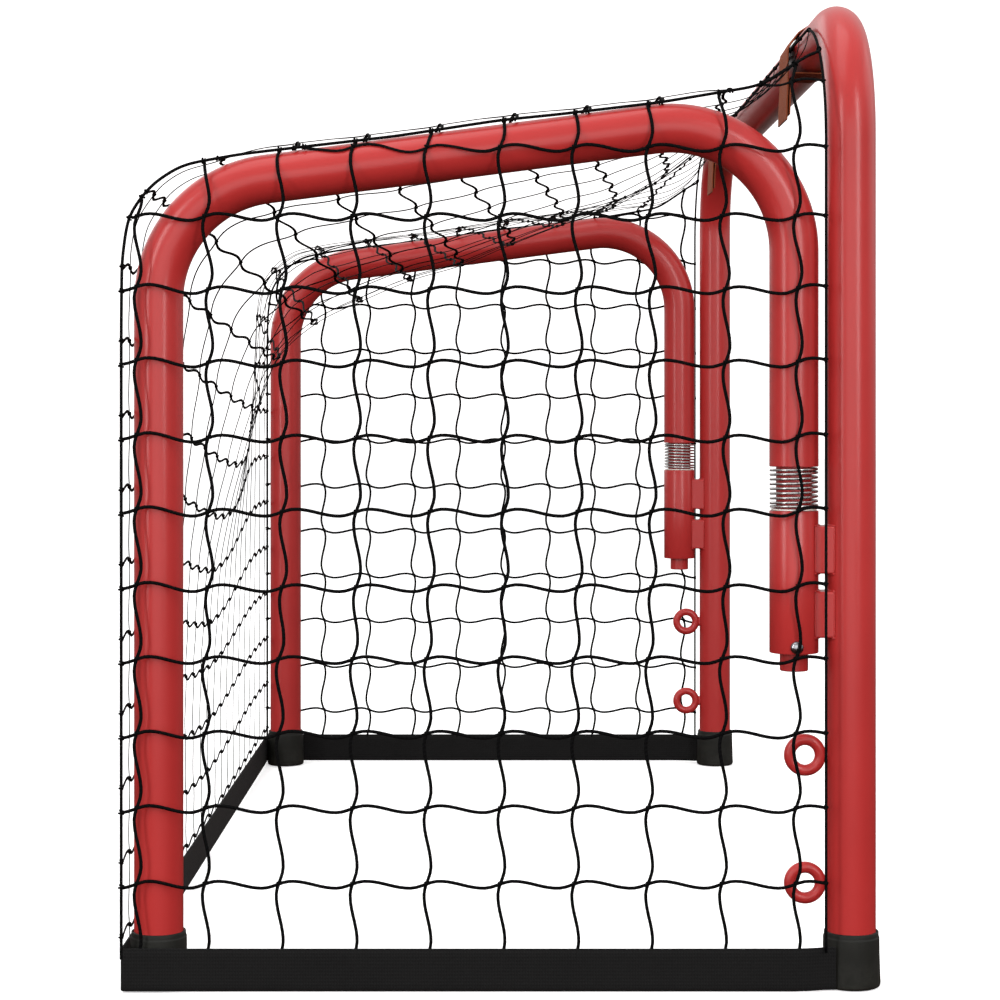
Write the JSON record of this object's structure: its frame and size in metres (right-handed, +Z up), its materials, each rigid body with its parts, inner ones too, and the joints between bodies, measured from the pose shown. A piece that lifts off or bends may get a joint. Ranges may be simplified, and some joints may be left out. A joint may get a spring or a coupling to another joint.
{
  "type": "folding hockey goal",
  "caption": "Small folding hockey goal with a bent tube front frame, side frames that fold inward on sprung hinges, a knotted net, rubber feet and a webbing strap round its base.",
  "frame": {"origin": "on the floor, under the centre of the goal's box", "axes": "+Z up, +X across the goal along the crossbar, +Y from the mouth to the rear net, so the mouth faces -Y; left is -X"},
  "size_m": [0.92, 0.4622, 0.612],
  "materials": {
    "red_powder_coat": "glossy red powder coat",
    "black_rubber": "matt moulded black rubber",
    "spring_steel": "bright drawn wire",
    "screw_steel": "bright plated",
    "nylon": "natural nylon",
    "net_cord": "black twisted polyester cord",
    "webbing": "black woven webbing",
    "red_tie_strap": "red hook-and-loop tape"
  },
  "bodies": {
    "front_frame": {"front_frame_tube": "red_powder_coat", "left_post_foot": "black_rubber", "left_hinge_sleeve": "red_powder_coat", "left_upper_weld_block": "red_powder_coat", "left_lower_weld_block": "red_powder_coat", "left_retaining_screw": "screw_steel", "left_upper_eyelet_ring": "red_powder_coat", "left_lower_eyelet_ring": "red_powder_coat", "left_crossbar_strap": "red_tie_strap", "left_net_panel": "net_cord", "right_post_foot": "black_rubber", "right_hinge_sleeve": "red_powder_coat", "right_upper_weld_block": "red_powder_coat", "right_lower_weld_block": "red_powder_coat", "right_retaining_screw": "screw_steel", "right_upper_eyelet_ring": "red_powder_coat", "right_lower_eyelet_ring": "red_powder_coat", "right_crossbar_strap": "red_tie_strap", "right_net_panel": "net_cord", "top_net_panel": "net_cord", "rear_net_panel": "net_cord", "net_border_cord": "net_cord", "base_strap": "webbing"},
    "left_collar": {"left_thrust_washer": "nylon", "left_hinge_spring": "spring_steel"},
    "left_side": {"left_side_frame_tube": "red_powder_coat", "left_hinge_rod": "red_powder_coat", "left_rear_foot": "black_rubber"},
    "right_collar": {"right_thrust_washer": "nylon", "right_hinge_spring": "spring_steel"},
    "right_side": {"right_side_frame_tube": "red_powder_coat", "right_hinge_rod": "red_powder_coat", "right_rear_foot": "black_rubber"}
  },
  "joints": [
    {"name": "left_fold", "type": "hinge", "parent": "front_frame", "child": "left_collar", "pos_m": [-0.44, -0.1781, 0.2904], "axis": [0, 0, -1], "range_deg": [0, 90]},
    {"name": "left_press", "type": "slide", "parent": "left_collar", "child": "left_side", "axis": [0, 0, -1], "range_m": [0, 0.008], "stiffness_N_per_m": 2500, "springref_m": -0.01, "deforming": ["left_hinge_spring"]},
    {"name": "right_fold", "type": "hinge", "parent": "front_frame", "child": "right_collar", "pos_m": [0.44, -0.1781, 0.2904], "axis": [0, 0, 1], "range_deg": [0, 90]},
    {"name": "right_press", "type": "slide", "parent": "right_collar", "child": "right_side", "axis": [0, 0, -1], "range_m": [0, 0.008], "stiffness_N_per_m": 2500, "springref_m": -0.01, "deforming": ["right_hinge_spring"]}
  ]
}
